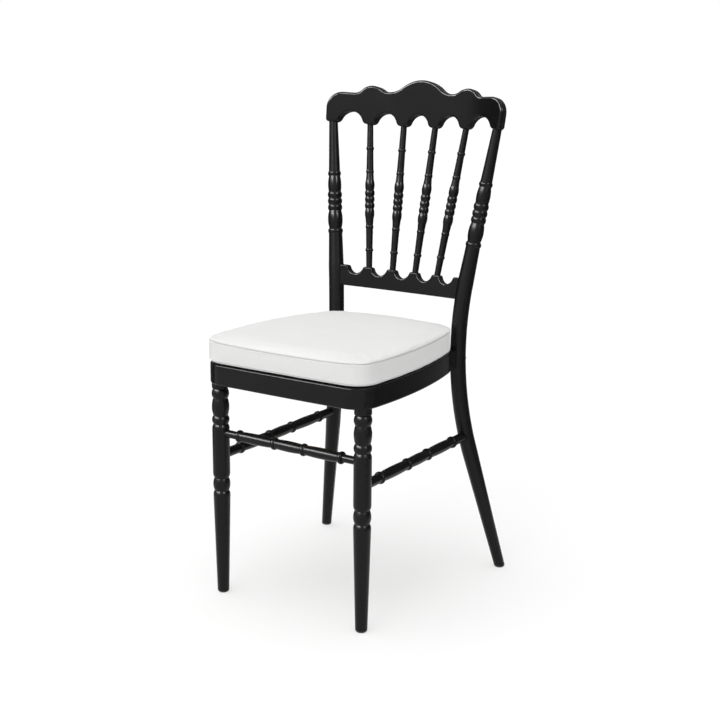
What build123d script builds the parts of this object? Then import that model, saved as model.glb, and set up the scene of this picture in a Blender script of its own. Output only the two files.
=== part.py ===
from build123d import *
import os
from math import cos, radians, sin, sqrt

# Turned banquet chair with a humped crest, four spindles and a loose seat pad, in millimetres.
# +Z is up and the front faces -Y. The origin is on the floor, under the middle of the chair.

# Fits
GLUE_GAP = 0.1  # all round a tenon, dowel or screw in its socket
SOCKET_REST = 1.0  # free depth at the bottom of a socket

# Seat rails and their plan
SEAT_TOP = 437.0
RAIL_HEIGHT = 37.0
RAIL_WIDTH = 46.0
RAIL_ROUND = 3.0
SEAT_FRONT = -231.0  # the edges' positions at the corners, before those are rounded
SEAT_REAR = 127.0
FRONT_HALF_WIDTH = 170.0
REAR_HALF_WIDTH = 138.0
FRONT_BOW = 2.0
SIDE_BOW = 19.0
REAR_BOW = 2.0
FRONT_CORNER = 42.0
REAR_CORNER = 58.0
FRONT_JOINT = 90.0  # along a side, from the corner to the joint between two rails
REAR_JOINT = 115.0
RAIL_DOWEL_D = 8.0
RAIL_DOWEL_LENGTH = 40.0
RAIL_DOWEL_SPACING = 18.0

# Seat deck
DECK_THICKNESS = 9.0
DECK_LEDGE = 10.0
DECK_GAP = 0.3
SCREW_X = 70.0  # of the screws in the front and rear rails, from the middle
SCREW_FROM_JOINT = 30.0  # of the screws in the side rails
SCREW_D = 3.5
SCREW_HEAD_D = 7.0
SCREW_HEAD_HEIGHT = 2.2
SCREW_LENGTH = 22.0

# Front legs, turned from the seat rail down
LEG_INSET_X = 16.5  # from the seat's corner
LEG_INSET_Y = 28.0
LEG_TENON_D = 18.0
LEG_TENON_LENGTH = 24.0
LEG_COLLAR = 13.0
LEG_COLLAR_D = 30.0
LEG_BEAD_D = 31.2
LEG_GROOVE_D = 26.0
LEG_UPPER_BEAD = 18.0
LEG_VASE = 32.0
LEG_MIDDLE_BEAD = 15.5
LEG_BARREL = 101.0
LEG_BARREL_ROUND = 8.0
LEG_BARREL_ROUND_D = 29.7
LEG_LOWER_BEAD = 24.0
LEG_SHOULDER = 9.5
LEG_SHOULDER_D = 30.0
LEG_TAPER_D = 30.9
LEG_FOOT_D = 21.5

# Foot glides
GLIDE_HEIGHT = 4.0
GLIDE_CHAMFER = 2.0
GLIDE_D = 20.0
NAIL_D = 3.0
NAIL_LENGTH = 18.0
NAIL_HEAD_D = 7.0
NAIL_HEAD_HEIGHT = 1.2

# The back is one bowed surface that leans from the seat's height
BACK_BEHIND_KNEE = 17.8
BACK_LEAN = 10.1
BACK_BOW_RADIUS = 605.0

# Rear posts: straight leg, bend, straight post
REAR_FOOT_X = 206.6
REAR_FOOT_Y = 200.0
POST_KNEE_ANGLE = 59.0  # in plan, about the seat's rear corner
POST_KNEE_REACH = 2.8  # in plan, from the seat's rear corner
POST_KNEE_DROP = 1.0  # below the seat rails
POST_BEND_RADIUS = 720.0
POST_D = 29.4
REAR_FOOT_D = 20.0
POST_TOP_INSET = 14.6  # from the crest's end
POST_TOP_D = 16.2
POST_TENON_D = 10.0
POST_TENON_LENGTH = 24.0
POST_TURNING_AT = 231.0  # from the knee up to the first ring
POST_LOW_NECK_D = 26.4
POST_NECK_D = 24.0
POST_HIGH_NECK_D = 22.0
POST_RING_WIDTH = 9.5
POST_LOW_RING_D = 29.0
POST_HIGH_RING_D = 25.5
POST_LOW_VASE = 34.0
POST_LOW_VASE_D = 28.8
POST_BEAD_PITCH = 12.4
POST_BEAD_D = 28.0
POST_BEAD_COUNT = 3
POST_HIGH_VASE = 30.0
POST_HIGH_VASE_D = 26.0

# Crest rail, in the back's own plane
CREST_RISE = 402.0  # up the back from the seat's height to the lobes' ends
CREST_THICKNESS = 20.0
CREST_ROUND = 4.0
CREST_HALF_LENGTH = 195.0
CREST_END_LEAN = 3.0
CREST_END_ROUND = 30.0
CREST_SHOULDER = 58.8
CREST_CENTRE_HUMP = 88.2
CREST_VALLEY_X = 70.3
CREST_VALLEY = 63.4
CREST_SIDE_HUMP_X = 105.7
CREST_SIDE_HUMP = 74.0
CREST_SHOULDER_X = 141.0
CREST_HUMP_SHARE = 0.6  # of the way from a hump to the hollow beside it, where the curve turns
CREST_ARCH = 23.0
CREST_ARCH_SHARE = 0.68  # of the way from an arch's top to the lobe beside it
CREST_LOBE_WIDTH = 6.0
CREST_LOBE_ROUND = 6.5

# Lower back rail, in the back's own plane
LOWER_RAIL_RISE = 89.5
LOWER_RAIL_HEIGHT = 40.0
LOWER_RAIL_DIP = 14.5
LOWER_RAIL_PEAK_WIDTH = 18.0
LOWER_RAIL_PEAK_ROUND = 4.5
LOWER_RAIL_THICKNESS = 16.0
LOWER_RAIL_ROUND = 3.0
LOWER_TENON_THICKNESS = 8.0
LOWER_TENON_HEIGHT = 22.0
LOWER_TENON_LENGTH = 13.0

# Spindles
SPINDLE_INNER_TOP_X = 34.7
SPINDLE_OUTER_TOP_X = 106.0
SPINDLE_INNER_BOTTOM_X = 25.4
SPINDLE_OUTER_BOTTOM_X = 76.8
SPINDLE_MIDDLE_DROP = 6.2  # of the middle bead, below half the spindle's length
SPINDLE_BEAD_PITCH = 11.9
SPINDLE_BEAD_D = 18.8
SPINDLE_NECK_D = 15.7
SPINDLE_VASE = 32.0
SPINDLE_VASE_BELLY = 9.5
SPINDLE_VASE_D = 18.5
SPINDLE_STEM_D = 13.8
SPINDLE_RING_D = 15.4
SPINDLE_RING_WIDTH = 6.5
SPINDLE_RING_GAP = 38.0
SPINDLE_STEM_END_D = 12.6
SPINDLE_END_D = 11.4
SPINDLE_TENON_D = 8.0
SPINDLE_TENON_LENGTH = 18.0

# Stretchers
FRONT_STRETCHER_DROP = 95.0  # below the seat rails
SIDE_STRETCHER_DROP = 137.5
SIDE_STRETCHER_RISE = 5.2  # from the front leg to the rear leg
STRETCHER_BARREL_D = 19.6
STRETCHER_NECK_D = 17.2
STRETCHER_RING_D = 22.4
STRETCHER_RING_WIDTH = 9.0
FRONT_STRETCHER_BARREL = 54.0
FRONT_STRETCHER_SWELL = 70.0
FRONT_STRETCHER_END_D = 14.0
SIDE_STRETCHER_BARREL = 59.0
SIDE_STRETCHER_SWELL = 79.0
SIDE_STRETCHER_END_D = 17.4
STRETCHER_TENON_D = 10.0
STRETCHER_TENON_LENGTH = 12.0

# Joint between the posts and the seat's rear corners
SPACER_WIDTH = 22.0
SPACER_HEIGHT = 32.0
BOLT_D = 6.0
BOLT_HEAD_D = 13.0
BOLT_HEAD_HEIGHT = 3.0
BOLT_HEAD_SINK = 4.0
BOLT_NUT_DEPTH = 24.0  # from the rail's outer face to the cross nut
BOLT_PAST_NUT = 4.0
NUT_D = 10.0
NUT_LENGTH = 16.0
BOLT_GAP = 0.3

# Seat pad
PAD_STRIP_THICKNESS = 1.0
PAD_STRIP_WIDTH = 25.0
PAD_STRIP_LENGTH = 90.0
PAD_STRIP_SPACING_X = 150.0
PAD_STRIP_SPACING_Y = 170.0
PAD_BASE_HEIGHT = 3.4  # bottom panel, up to the lower seam
PAD_BASE_INSET = 1.0
PAD_BASE_ROUND = 2.2
PAD_BASE_SEAM_ROUND = 0.6
PAD_BAND_HEIGHT = 34.6  # side band, between the seams
PAD_BULGE = 1.2  # the band stands out past the rail
PAD_SEAM_ROUND = 2.0
PAD_TOP_EDGE = 7.5  # from the upper seam to the crown's corners
PAD_TOP_ROUND = 6.5
PAD_CROWN = 6.0  # from the crown's corners to its middle
PAD_WALL = 2.5
FOAM_GAP = 0.3

OUT = "parts"
os.makedirs(OUT, exist_ok=True)

AT_START = (Align.CENTER, Align.CENTER, Align.MIN)
AT_END = (Align.CENTER, Align.CENTER, Align.MAX)


def save(part, label):
    """Names one finished piece and writes it."""
    part.label = label
    export_step(part, f"{OUT}/{label}.step")


def mirrored(part):
    """The same piece on the chair's other side."""
    with BuildPart() as other:
        mirror(part, about=Plane.YZ)
    return other.part


def turning_plane(start, end):
    """Drawing plane for a turned outline: X is the radius, Y runs from start towards end."""
    along = (Vector(*end) - Vector(*start)).normalized()
    across = Vector(0, 0, 1) if abs(along.Z) < 0.5 else Vector(0, 1, 0)
    side = along.cross(across).normalized()
    return Plane(origin=start, x_dir=side, z_dir=side.cross(along))


def taper(pen, diameter, at):
    """Straight stroke of a turned outline, to a diameter at a distance along the axis."""
    end = (diameter / 2, at)
    Line(pen, end)
    return end


def bead(pen, diameter, width, neck=None, belly=0.5):
    """Round stroke of a turned outline, which swells to a diameter and ends in a neck."""
    end = (pen[0] if neck is None else neck / 2, pen[1] + width)
    ThreePointArc(pen, (diameter / 2, pen[1] + belly * width), end)
    return end


def drill(start, direction, diameter, depth):
    """Round socket in the piece being built."""
    with Locations(Plane(origin=start, z_dir=direction).location):
        Cylinder(diameter / 2, depth, align=AT_START, mode=Mode.SUBTRACT)


# Seat plan: four bowed edges with rounded corners
side_edge = SagittaArc((FRONT_HALF_WIDTH, SEAT_FRONT), (REAR_HALF_WIDTH, SEAT_REAR), -SIDE_BOW)
with BuildSketch() as seat_outline:
    with BuildLine():
        add(side_edge)
        mirror(about=Plane.YZ)
        ThreePointArc(
            (-FRONT_HALF_WIDTH, SEAT_FRONT), (0, SEAT_FRONT - FRONT_BOW), (FRONT_HALF_WIDTH, SEAT_FRONT)
        )
        ThreePointArc((-REAR_HALF_WIDTH, SEAT_REAR), (0, SEAT_REAR + REAR_BOW), (REAR_HALF_WIDTH, SEAT_REAR))
    make_face()
    fillet(seat_outline.vertices().group_by(Axis.Y)[0], FRONT_CORNER)
    fillet(seat_outline.vertices().group_by(Axis.Y)[-1], REAR_CORNER)

seat_edge = seat_outline.sketch


def seat_plan(inset):
    """Plan of the seat drawn in by an inset."""
    with BuildSketch() as plan:
        add(seat_edge)
        offset(amount=-inset, kind=Kind.INTERSECTION, mode=Mode.REPLACE)
    return plan.sketch


# Heights of the seat, its rear right corner and the front right leg
rail_bottom = SEAT_TOP - RAIL_HEIGHT
rail_middle = SEAT_TOP - RAIL_HEIGHT / 2
seat_corners = seat_edge.edges().sort_by(SortBy.RADIUS)[:4]
rear_corner = seat_corners.sort_by(Axis.Y)[-2:].sort_by(Axis.X)[-1]
leg_x = FRONT_HALF_WIDTH - LEG_INSET_X
leg_y = SEAT_FRONT + LEG_INSET_Y

# Knee of the right post, where the lines of its leg and of its upper part meet
knee_reach = REAR_CORNER + POST_KNEE_REACH
knee_way = Vector(cos(radians(POST_KNEE_ANGLE)), sin(radians(POST_KNEE_ANGLE)))
knee = rear_corner.arc_center + knee_way * knee_reach + Vector(0, 0, rail_bottom - POST_KNEE_DROP)

# Back surface: X across, Y up the lean, Z towards the sitter
up_back = Vector(0, sin(radians(BACK_LEAN)), cos(radians(BACK_LEAN)))
back = Plane(
    origin=(0, knee.Y + BACK_BEHIND_KNEE, SEAT_TOP), x_dir=(1, 0, 0), z_dir=Vector(1, 0, 0).cross(up_back)
)


def back_point(x, rise):
    """Point in the middle of the back's thickness."""
    bow = BACK_BOW_RADIUS - sqrt(BACK_BOW_RADIUS**2 - x**2)
    return back.from_local_coords(Vector(x, rise, bow))


# Rear post centre line, right side
foot = Vector(REAR_FOOT_X, REAR_FOOT_Y, 0)
post_top_x = CREST_HALF_LENGTH - POST_TOP_INSET
post_top = back_point(post_top_x, CREST_RISE)
leg_way = (knee - foot).normalized()
post_way = (post_top - knee).normalized()
post_path = FilletPolyline(foot, knee, post_top, radius=POST_BEND_RADIUS)
leg_line, bend, post_line = post_path.edges().sort_by(Axis.Z)


def post_point(plane):
    """Point where the post's centre line crosses a plane."""
    hits = [edge.intersect(plane) for edge in post_path.edges()]
    return Vector(*next(hit for hit in hits if hit)[0])


def post_tube(diameter):
    """Plain round bar along the post's centre line, for shaping what meets the post."""
    with BuildPart() as tube:
        with BuildSketch(Plane(origin=foot, z_dir=leg_way)):
            Circle(diameter / 2)
        sweep(path=post_path)
    return tube.part


post_clearance = post_tube(POST_D + 2 * GLUE_GAP)

# Places where other pieces meet the post
lower_rail_top = LOWER_RAIL_RISE + LOWER_RAIL_HEIGHT
crest_base = Plane(origin=back_point(0, CREST_RISE), x_dir=(1, 0, 0), z_dir=up_back)
peak_base = Plane(origin=back_point(0, lower_rail_top), x_dir=(1, 0, 0), z_dir=up_back)
lower_rail_middle = LOWER_RAIL_RISE + (LOWER_RAIL_HEIGHT - LOWER_RAIL_DIP) / 2
lower_rail_end = post_point(Plane(origin=back_point(0, lower_rail_middle), z_dir=up_back))
lower_rail_half = back.to_local_coords(lower_rail_end).X
end_slope = lower_rail_half / BACK_BOW_RADIUS
lower_rail_way = (back.x_dir * sqrt(1 - end_slope**2) + back.z_dir * end_slope).normalized()
lower_tenon_tip = lower_rail_end - lower_rail_way * (POST_D / 2 - LOWER_TENON_LENGTH)
front_stretcher_z = rail_bottom - FRONT_STRETCHER_DROP
side_stretcher_front = Vector(leg_x, leg_y, rail_bottom - SIDE_STRETCHER_DROP)
side_stretcher_rear = post_point(Plane.XY.offset(side_stretcher_front.Z + SIDE_STRETCHER_RISE))
side_stretcher_way = (side_stretcher_rear - side_stretcher_front).normalized()
rear_glide = foot + leg_way * (GLIDE_HEIGHT / leg_way.Z)

# Bolt line from the post to the seat's rear corner
corner_centre = rear_corner.arc_center + Vector(0, 0, rail_middle)
bolt_post = post_point(Plane.XY.offset(rail_middle))
bolt_way = (corner_centre - bolt_post).normalized()
bolt_rail = corner_centre - bolt_way * REAR_CORNER
bolt_seat = bolt_post - bolt_way * (POST_D / 2 - BOLT_HEAD_SINK)
bolt_nut = bolt_rail + bolt_way * BOLT_NUT_DEPTH
bolt_length = (bolt_nut - bolt_seat).length + BOLT_PAST_NUT


# Front legs
leg_turning = (
    LEG_SHOULDER + LEG_LOWER_BEAD + LEG_BARREL + LEG_MIDDLE_BEAD + LEG_VASE + LEG_UPPER_BEAD + LEG_COLLAR
)
with BuildPart() as front_leg:
    leg_foot = Vector(leg_x, leg_y, 0)
    leg_top = rail_bottom + LEG_TENON_LENGTH
    with BuildSketch(turning_plane(leg_foot, leg_foot + Vector(0, 0, 1))):
        with BuildLine():
            pen = taper((0, GLIDE_HEIGHT), LEG_FOOT_D, GLIDE_HEIGHT)
            pen = taper(pen, LEG_TAPER_D, rail_bottom - leg_turning)
            pen = bead(pen, LEG_SHOULDER_D, LEG_SHOULDER, LEG_GROOVE_D)
            pen = bead(pen, LEG_BEAD_D, LEG_LOWER_BEAD)
            pen = bead(pen, LEG_BARREL_ROUND_D, LEG_BARREL_ROUND, LEG_BEAD_D)
            pen = taper(pen, LEG_BEAD_D, pen[1] + LEG_BARREL - 2 * LEG_BARREL_ROUND)
            pen = bead(pen, LEG_BARREL_ROUND_D, LEG_BARREL_ROUND, LEG_GROOVE_D)
            pen = bead(pen, LEG_BEAD_D, LEG_MIDDLE_BEAD)
            pen = bead(pen, LEG_BEAD_D, LEG_VASE)
            pen = bead(pen, LEG_BEAD_D, LEG_UPPER_BEAD)
            pen = taper(pen, LEG_COLLAR_D, pen[1] + (LEG_COLLAR_D - LEG_GROOVE_D) / 2)
            pen = taper(pen, LEG_COLLAR_D, rail_bottom)
            pen = taper(pen, LEG_TENON_D, rail_bottom)
            pen = taper(pen, LEG_TENON_D, leg_top)
            Polyline(pen, (0, leg_top), (0, GLIDE_HEIGHT))
        make_face()
    revolve(axis=Axis(leg_foot, (0, 0, 1)))
    socket_reach = LEG_BEAD_D / 2 - STRETCHER_TENON_LENGTH - SOCKET_REST
    socket_d = STRETCHER_TENON_D + 2 * GLUE_GAP
    drill((leg_x - socket_reach, leg_y, front_stretcher_z), (-1, 0, 0), socket_d, LEG_BEAD_D)
    drill(side_stretcher_front + side_stretcher_way * socket_reach, side_stretcher_way, socket_d, LEG_BEAD_D)
    drill(leg_foot, (0, 0, 1), NAIL_D + 2 * GLUE_GAP, NAIL_HEAD_HEIGHT + NAIL_LENGTH + SOCKET_REST)

save(front_leg.part, "front_leg_right")
save(mirrored(front_leg.part), "front_leg_left")


# Rear posts
bend_end = (Vector(*(post_line @ 0)) - knee).length
post_reach = (post_top - knee).length
with BuildPart() as rear_post:
    # Straight leg, drawn from below the floor and then cut level for its glide
    with BuildSketch(turning_plane(foot, knee)):
        with BuildLine():
            pen = taper((0, -REAR_FOOT_D), REAR_FOOT_D, -REAR_FOOT_D)
            pen = taper(pen, REAR_FOOT_D, 0)
            pen = taper(pen, POST_D, leg_line.length)
            Polyline(pen, (0, leg_line.length), (0, -REAR_FOOT_D))
        make_face()
    revolve(axis=Axis(foot, leg_way))
    split(bisect_by=Plane.XY.offset(GLIDE_HEIGHT), keep=Keep.TOP)
    # Bend past the seat
    with BuildSketch(Plane(origin=bend @ 0, z_dir=leg_way)):
        Circle(POST_D / 2)
    sweep(path=bend)
    # Turned post, cut square to the crest's lobe
    with BuildSketch(turning_plane(knee, post_top)):
        with BuildLine():
            pen = taper((0, bend_end), POST_D, bend_end)
            pen = taper(pen, POST_LOW_NECK_D, POST_TURNING_AT)
            pen = bead(pen, POST_LOW_RING_D, POST_RING_WIDTH, POST_NECK_D)
            pen = bead(pen, POST_LOW_VASE_D, POST_LOW_VASE)
            for count in range(POST_BEAD_COUNT):
                pen = bead(pen, POST_BEAD_D, POST_BEAD_PITCH)
            pen = bead(pen, POST_HIGH_VASE_D, POST_HIGH_VASE, POST_HIGH_NECK_D)
            pen = bead(pen, POST_HIGH_RING_D, POST_RING_WIDTH)
            pen = taper(pen, POST_TOP_D, post_reach + POST_TOP_D)
            Polyline(pen, (0, post_reach + POST_TOP_D), (0, bend_end))
        make_face()
    revolve(axis=Axis(knee, post_way))
    split(bisect_by=crest_base, keep=Keep.BOTTOM)
    with Locations(Plane(origin=post_top - post_way * POST_TENON_LENGTH, z_dir=post_way).location):
        Cylinder(POST_TENON_D / 2, 2 * POST_TENON_LENGTH, align=AT_START)
    # Mortise for the lower back rail, socket for the stretcher, bolt hole and nail hole
    mortise_end = lower_tenon_tip + lower_rail_way * SOCKET_REST
    with Locations(Plane(origin=mortise_end, x_dir=up_back, z_dir=-lower_rail_way).location):
        Box(
            LOWER_TENON_HEIGHT + 2 * GLUE_GAP,
            LOWER_TENON_THICKNESS + 2 * GLUE_GAP,
            POST_D,
            align=AT_START,
            mode=Mode.SUBTRACT,
        )
    stretcher_reach = POST_D / 2 - STRETCHER_TENON_LENGTH - SOCKET_REST
    drill(
        side_stretcher_rear - side_stretcher_way * stretcher_reach,
        -side_stretcher_way,
        STRETCHER_TENON_D + 2 * GLUE_GAP,
        POST_D,
    )
    drill(bolt_post - bolt_way * POST_D, bolt_way, BOLT_D + 2 * BOLT_GAP, 2 * POST_D)
    drill(bolt_seat, -bolt_way, BOLT_HEAD_D + 2 * BOLT_GAP, POST_D)
    drill(
        (rear_glide.X, rear_glide.Y, 0),
        (0, 0, 1),
        NAIL_D + 2 * GLUE_GAP,
        NAIL_HEAD_HEIGHT + NAIL_LENGTH + SOCKET_REST,
    )

save(rear_post.part, "rear_post_right")
save(mirrored(rear_post.part), "rear_post_left")


# Crest rail
def bowed_band(half_length, thickness, rise, height):
    """Board bent to the back's bow, standing along the back's lean."""
    bow = BACK_BOW_RADIUS - sqrt(BACK_BOW_RADIUS**2 - half_length**2)
    with BuildPart() as band:
        with BuildSketch(Plane(origin=back_point(0, rise), x_dir=(1, 0, 0), z_dir=up_back)):
            with BuildLine() as middle:
                ThreePointArc((-half_length, -bow), (0, 0), (half_length, -bow))
            SlotArc(middle.edge(), thickness)
        extrude(amount=height)
    return band.part


def at_x(*places):
    """Chooses the vertices at given distances from the chair's middle."""
    return lambda vertex: any(abs(abs(vertex.X) - place) < 0.01 for place in places)


def is_bowed(face):
    """Chooses the front and rear faces of a bowed board."""
    return face.geom_type == GeomType.CYLINDER and face.radius > BACK_BOW_RADIUS / 2


def ogee(hump, hollow, share):
    """Stroke from a hump to the hollow beside it, level at both ends, which turns at a share of the way."""
    turn = Vector(*hump) + (Vector(*hollow) - Vector(*hump)) * share
    way = 1 if hollow[0] > hump[0] else -1
    TangentArc(hump, turn, tangent=(way, 0))
    TangentArc(hollow, turn, tangent=(-way, 0))


lobe = CREST_LOBE_WIDTH / 2
crest_top = CREST_RISE + CREST_CENTRE_HUMP
crest_end = (CREST_HALF_LENGTH, CREST_RISE + CREST_SHOULDER)
crest_foot = (CREST_HALF_LENGTH - CREST_END_LEAN, CREST_RISE)
spindle_tops = (SPINDLE_INNER_TOP_X, SPINDLE_OUTER_TOP_X)
spindle_bottoms = (SPINDLE_INNER_BOTTOM_X, SPINDLE_OUTER_BOTTOM_X)
lobe_places = (*spindle_tops, post_top_x)
with BuildPart() as crest_rail:
    add(bowed_band(CREST_HALF_LENGTH + CREST_THICKNESS, CREST_THICKNESS, CREST_RISE, CREST_CENTRE_HUMP))
    with BuildSketch(back) as crest_face:
        with BuildLine():
            valley = (CREST_VALLEY_X, CREST_RISE + CREST_VALLEY)
            side_hump = (CREST_SIDE_HUMP_X, CREST_RISE + CREST_SIDE_HUMP)
            shoulder = (CREST_SHOULDER_X, CREST_RISE + CREST_SHOULDER)
            ogee((0, crest_top), valley, CREST_HUMP_SHARE)
            ogee(side_hump, valley, CREST_HUMP_SHARE)
            ogee(side_hump, shoulder, CREST_HUMP_SHARE)
            Polyline(shoulder, crest_end, crest_foot, (post_top_x - lobe, CREST_RISE))
            for inner, outer in zip(lobe_places, lobe_places[1:]):
                arch_top = ((inner + outer) / 2, CREST_RISE + CREST_ARCH)
                ogee(arch_top, (inner + lobe, CREST_RISE), CREST_ARCH_SHARE)
                ogee(arch_top, (outer - lobe, CREST_RISE), CREST_ARCH_SHARE)
                Line((inner - lobe, CREST_RISE), (inner + lobe, CREST_RISE))
            middle_arch_top = (0, CREST_RISE + CREST_ARCH)
            ogee(middle_arch_top, (SPINDLE_INNER_TOP_X - lobe, CREST_RISE), CREST_ARCH_SHARE)
            mirror(about=Plane.YZ)
        make_face()
        fillet(crest_face.vertices().filter_by(at_x(CREST_HALF_LENGTH)), CREST_END_ROUND)
        fillet(crest_face.vertices().filter_by(at_x(crest_foot[0])), CREST_LOBE_ROUND)
    extrude(amount=BACK_BOW_RADIUS / 4, both=True, mode=Mode.INTERSECT)
    fillet(crest_rail.faces().filter_by(is_bowed).edges(), CREST_ROUND)
    for side in (-1, 1):
        way = Vector(post_way.X * side, post_way.Y, post_way.Z)
        start = Vector(post_top.X * side, post_top.Y, post_top.Z)
        drill(
            start - way * POST_TENON_LENGTH,
            way,
            POST_TENON_D + 2 * GLUE_GAP,
            2 * POST_TENON_LENGTH + SOCKET_REST,
        )
        for top_x, bottom_x in zip(spindle_tops, spindle_bottoms):
            top = back_point(top_x * side, CREST_RISE)
            way = (top - back_point(bottom_x * side, lower_rail_top)).normalized()
            drill(
                top - way * SPINDLE_TENON_LENGTH,
                way,
                SPINDLE_TENON_D + 2 * GLUE_GAP,
                2 * SPINDLE_TENON_LENGTH + SOCKET_REST,
            )

save(crest_rail.part, "crest_rail")


# Lower back rail
with BuildPart() as lower_back_rail:
    add(bowed_band(lower_rail_half, LOWER_RAIL_THICKNESS, LOWER_RAIL_RISE, LOWER_RAIL_HEIGHT))
    with BuildSketch(back) as lower_face:
        with BuildLine():
            peak = LOWER_RAIL_PEAK_WIDTH / 2
            low = lower_rail_top - LOWER_RAIL_DIP
            half_dip = SPINDLE_INNER_BOTTOM_X - peak
            dip_radius = (half_dip**2 + LOWER_RAIL_DIP**2) / (2 * LOWER_RAIL_DIP)
            inner, outer = spindle_bottoms
            last_dip = outer + peak + half_dip
            end = lower_rail_half + POST_D
            RadiusArc((0, low), (half_dip, lower_rail_top), -dip_radius)
            Line((inner - peak, lower_rail_top), (inner + peak, lower_rail_top))
            ThreePointArc(
                (inner + peak, lower_rail_top), ((inner + outer) / 2, low), (outer - peak, lower_rail_top)
            )
            Line((outer - peak, lower_rail_top), (outer + peak, lower_rail_top))
            ThreePointArc(
                (outer + peak, lower_rail_top), (last_dip, low), (last_dip + half_dip, lower_rail_top)
            )
            Polyline(
                (last_dip + half_dip, lower_rail_top),
                (end, lower_rail_top),
                (end, LOWER_RAIL_RISE),
                (0, LOWER_RAIL_RISE),
            )
            mirror(about=Plane.YZ)
        make_face()
        fillet(lower_face.vertices().group_by(Axis.Y)[-1], LOWER_RAIL_PEAK_ROUND)
    extrude(amount=BACK_BOW_RADIUS / 4, both=True, mode=Mode.INTERSECT)
    long_edges = lower_back_rail.faces().filter_by(is_bowed).edges().filter_by(GeomType.LINE, reverse=True)
    fillet(long_edges, LOWER_RAIL_ROUND)
    for side in (-1, 1):
        add(post_clearance if side > 0 else mirrored(post_clearance), mode=Mode.SUBTRACT)
        way = Vector(lower_rail_way.X * side, lower_rail_way.Y, lower_rail_way.Z)
        tip = Vector(lower_tenon_tip.X * side, lower_tenon_tip.Y, lower_tenon_tip.Z)
        with Locations(Plane(origin=tip, x_dir=up_back, z_dir=-way).location):
            Box(LOWER_TENON_HEIGHT, LOWER_TENON_THICKNESS, 2 * LOWER_TENON_LENGTH, align=AT_START)
        for top_x, bottom_x in zip(spindle_tops, spindle_bottoms):
            bottom = back_point(bottom_x * side, lower_rail_top)
            way = (bottom - back_point(top_x * side, CREST_RISE)).normalized()
            drill(
                bottom - way * SPINDLE_TENON_D,
                way,
                SPINDLE_TENON_D + 2 * GLUE_GAP,
                SPINDLE_TENON_D + SPINDLE_TENON_LENGTH + SOCKET_REST,
            )

save(lower_back_rail.part, "lower_back_rail")


# Spindles
def half_bead(diameter, neck, width):
    """Stroke from a bead's belly at the middle of a piece out to its neck."""
    Bezier((diameter / 2, 0), (diameter / 2, width / 2), (neck / 2, width))
    return (neck / 2, width)


def half_spindle(reach):
    """One half of a spindle's outline, from the middle bead out past its shoulder."""
    pen = half_bead(SPINDLE_BEAD_D, SPINDLE_NECK_D, SPINDLE_BEAD_PITCH / 2)
    pen = bead(pen, SPINDLE_BEAD_D, SPINDLE_BEAD_PITCH)
    pen = bead(pen, SPINDLE_VASE_D, 2 * SPINDLE_VASE_BELLY)
    pen = taper(pen, SPINDLE_STEM_D, pen[1] + SPINDLE_VASE - 2 * SPINDLE_VASE_BELLY)
    pen = bead(pen, SPINDLE_RING_D, SPINDLE_RING_WIDTH)
    pen = taper(pen, SPINDLE_STEM_END_D, pen[1] + SPINDLE_RING_GAP)
    pen = bead(pen, SPINDLE_RING_D, SPINDLE_RING_WIDTH)
    pen = taper(pen, SPINDLE_END_D, reach + SPINDLE_END_D)
    Polyline(pen, (0, reach + SPINDLE_END_D), (0, 0), (SPINDLE_BEAD_D / 2, 0))


def spindle(top_x, bottom_x):
    """Turned spindle between the lower rail's peak and the crest's lobe."""
    top = back_point(top_x, CREST_RISE)
    bottom = back_point(bottom_x, lower_rail_top)
    way = (top - bottom).normalized()
    middle = (bottom + top) / 2 - way * SPINDLE_MIDDLE_DROP
    with BuildPart() as stick:
        with BuildSketch(turning_plane(middle, top)):
            with BuildLine():
                half_spindle((top - middle).length)
            make_face()
        revolve(axis=Axis(middle, way))
        with BuildSketch(turning_plane(middle, bottom)):
            with BuildLine():
                half_spindle((bottom - middle).length)
            make_face()
        revolve(axis=Axis(middle, way))
        split(bisect_by=crest_base, keep=Keep.BOTTOM)
        split(bisect_by=peak_base, keep=Keep.TOP)
        with Locations(Plane(origin=bottom - way * SPINDLE_TENON_LENGTH, z_dir=way).location):
            Cylinder(SPINDLE_TENON_D / 2, (top - bottom).length + 2 * SPINDLE_TENON_LENGTH, align=AT_START)
    return stick.part


for name, pair in zip(("inner", "outer"), zip(spindle_tops, spindle_bottoms)):
    save(spindle(*pair), f"spindle_{name}_right")
    save(spindle(-pair[0], -pair[1]), f"spindle_{name}_left")


# Stretchers
def long_swell(pen, diameter, length):
    """Shallow swelling stroke between two equal necks."""
    end = (pen[0], pen[1] + length)
    Bezier(pen, (diameter - pen[0], pen[1] + length / 2), end)
    return end


def half_stretcher(barrel, swell, end_diameter, reach):
    """One half of a stretcher's outline, from its middle to inside the leg."""
    pen = half_bead(STRETCHER_BARREL_D, STRETCHER_NECK_D, barrel / 2)
    pen = bead(pen, STRETCHER_RING_D, STRETCHER_RING_WIDTH)
    pen = long_swell(pen, STRETCHER_BARREL_D, swell)
    pen = bead(pen, STRETCHER_RING_D, STRETCHER_RING_WIDTH, end_diameter)
    pen = taper(pen, end_diameter, reach)
    Polyline(pen, (0, reach), (0, 0), (STRETCHER_BARREL_D / 2, 0))


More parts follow.
